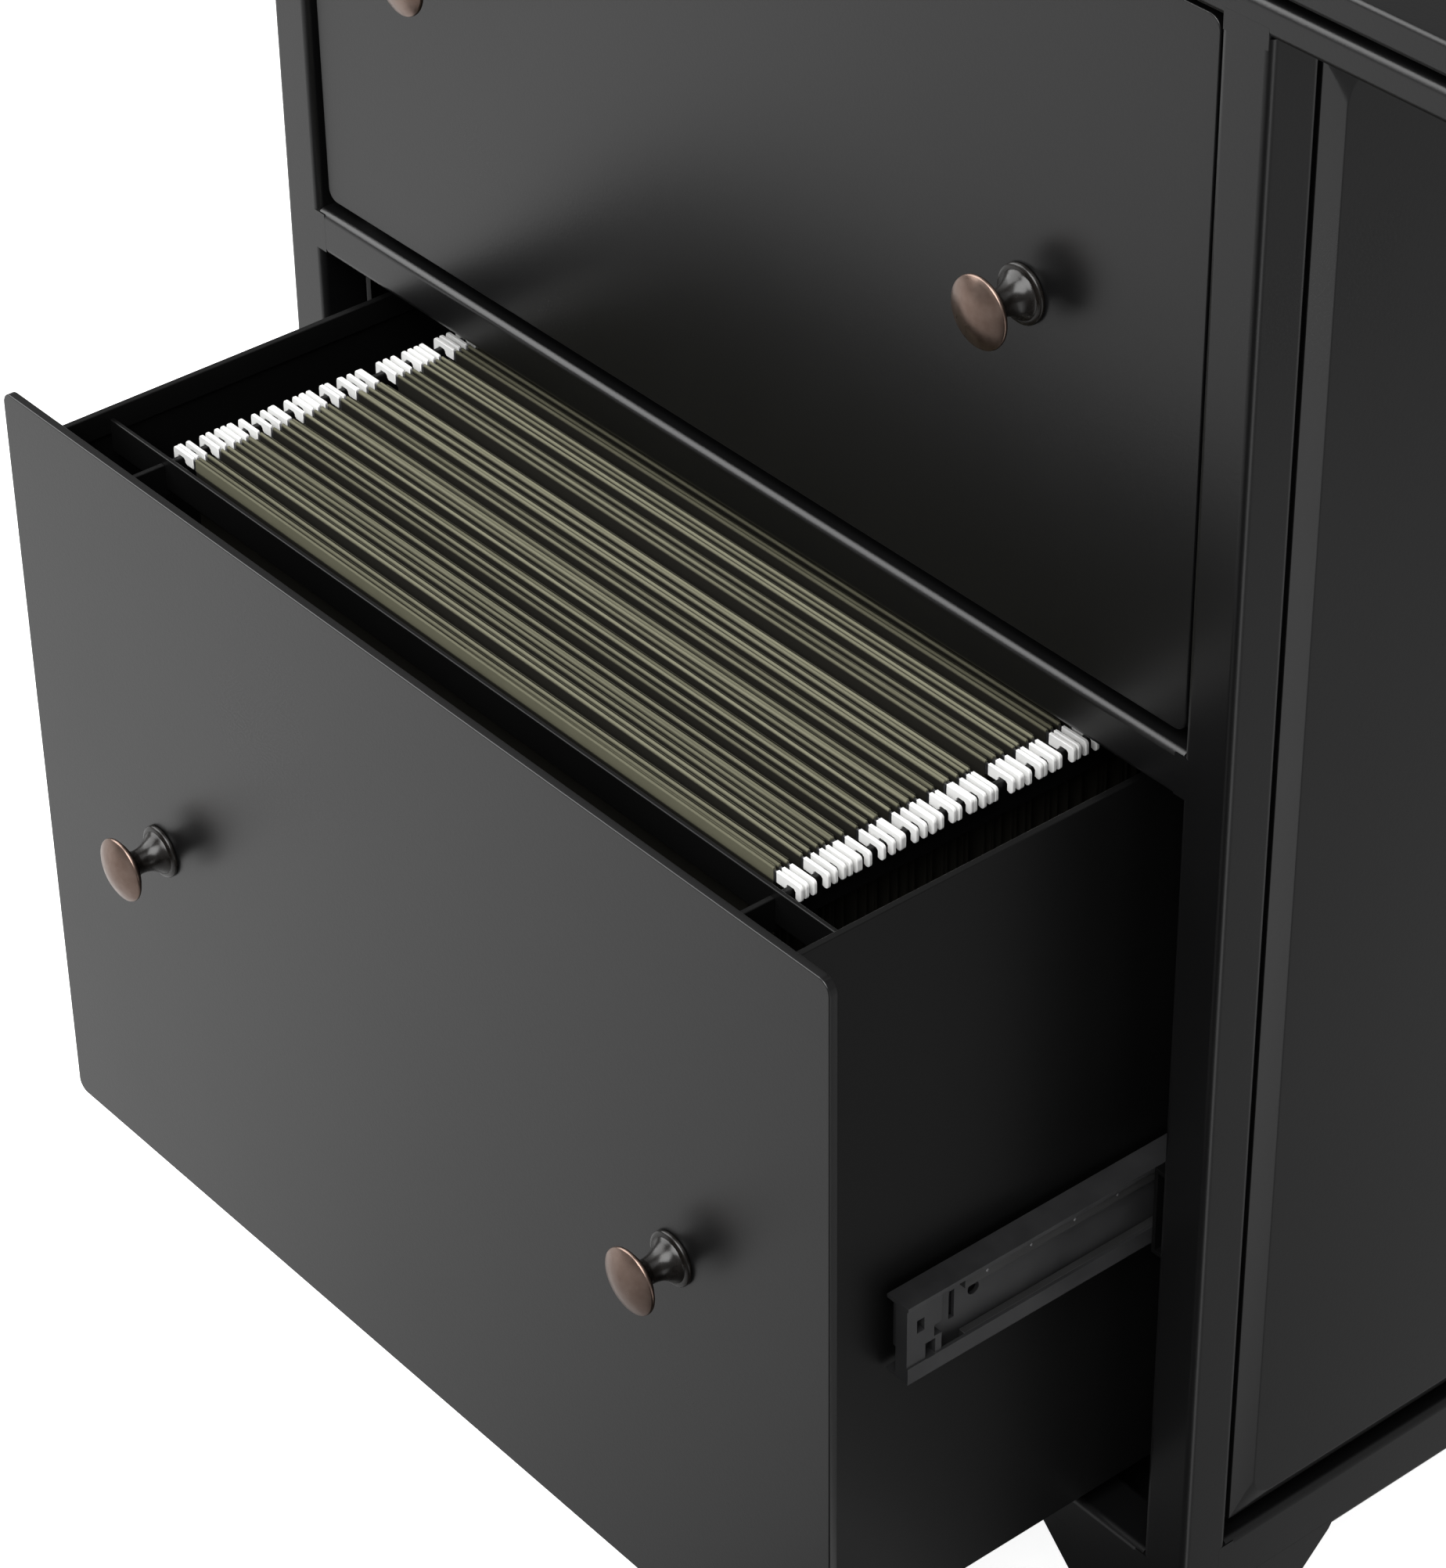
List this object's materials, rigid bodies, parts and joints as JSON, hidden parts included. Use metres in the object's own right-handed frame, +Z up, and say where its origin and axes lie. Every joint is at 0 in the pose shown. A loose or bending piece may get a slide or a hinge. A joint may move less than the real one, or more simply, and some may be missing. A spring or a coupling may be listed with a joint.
{
  "type": "filing cabinet",
  "caption": "Black steel filing cabinet on gusseted tube legs, with a closed upper drawer, an open lower drawer of hanging folders, ball-bearing slides and bronze knobs.",
  "frame": {"origin": "centre of the model's outline on the floor, with the lower drawer open as stored", "axes": "+Z up, the drawers open towards -Y, +X to the right of a person who faces the drawers"},
  "size_m": [0.604, 0.6716, 0.6699],
  "materials": {
    "black_paint": "semi-gloss black powder coat on sheet and tube",
    "inner_paint": "satin black powder coat inside the drawers",
    "slide_steel": "black-finished rolled slide steel",
    "zinc_steel": "dark zinc",
    "black_plastic": "matt",
    "knob_bronze": "oil-rubbed copper bronze",
    "rose_dark": "dark bronze",
    "folder_paper": "olive-green folder card",
    "hook_white": "white coated hooks"
  },
  "bodies": {
    "case": {"leg_front_left": "black_paint", "leg_front_right": "black_paint", "leg_back_left": "black_paint", "leg_back_right": "black_paint", "top_rail_front": "black_paint", "top_rail_back": "black_paint", "top_cross_rails": "black_paint", "mid_rail_front": "black_paint", "bottom_rail_front": "black_paint", "bottom_rail_back": "black_paint", "bottom_side_rails": "black_paint", "foot_gussets": "black_paint", "foot_glides": "black_plastic", "side_panel_left": "black_paint", "side_panel_right": "black_paint", "back_panel": "black_paint", "floor_pan": "inner_paint", "top_panel": "black_paint", "top_spacers": "black_plastic", "top_screws": "zinc_steel", "slide_brackets": "inner_paint", "back_screws": "zinc_steel", "upper_outer_member_left": "slide_steel", "upper_outer_member_right": "slide_steel", "lower_outer_member_left": "slide_steel", "lower_outer_member_right": "slide_steel", "slide_screws": "zinc_steel"},
    "upper_drawer": {"upper_drawer_front": "black_paint", "upper_box_front": "inner_paint", "upper_box_left": "inner_paint", "upper_box_right": "inner_paint", "upper_box_back": "inner_paint", "upper_box_bottom": "inner_paint", "upper_inner_member_left": "slide_steel", "upper_inner_member_right": "slide_steel", "upper_knobs": "knob_bronze", "upper_knob_roses": "rose_dark", "upper_knob_screws": "zinc_steel"},
    "upper_middle": {"upper_middle_member_left": "slide_steel", "upper_middle_member_right": "slide_steel", "upper_ball_cages": "black_plastic"},
    "lower_drawer": {"lower_drawer_front": "black_paint", "lower_box_front": "inner_paint", "lower_box_left": "inner_paint", "lower_box_right": "inner_paint", "lower_box_back": "inner_paint", "lower_box_bottom": "inner_paint", "lower_inner_member_left": "slide_steel", "lower_inner_member_right": "slide_steel", "lower_knobs": "knob_bronze", "lower_knob_roses": "rose_dark", "lower_knob_screws": "zinc_steel", "file_bars": "inner_paint", "file_rails": "inner_paint", "folders": "folder_paper", "folder_hooks": "hook_white"},
    "lower_middle": {"lower_middle_member_left": "slide_steel", "lower_middle_member_right": "slide_steel", "lower_ball_cages": "black_plastic"}
  },
  "joints": [
    {"name": "upper_drawer_slide", "type": "slide", "parent": "case", "child": "upper_drawer", "axis": [0, -1, 0], "range_m": [0, 0.4]},
    {"name": "upper_middle_slide", "type": "slide", "parent": "case", "child": "upper_middle", "axis": [0, -1, 0], "range_m": [-0.0001, 0.2921]},
    {"name": "lower_drawer_slide", "type": "slide", "parent": "case", "child": "lower_drawer", "axis": [0, -1, 0], "range_m": [-0.134, 0.266]},
    {"name": "lower_middle_slide", "type": "slide", "parent": "case", "child": "lower_middle", "axis": [0, -1, 0], "range_m": [-0.09792, 0.19428]}
  ],
  "couplings": [
    {"joint": "upper_middle_slide", "follows": "upper_drawer_slide", "ratio": 0.73},
    {"joint": "lower_middle_slide", "follows": "lower_drawer_slide", "ratio": 0.73}
  ]
}
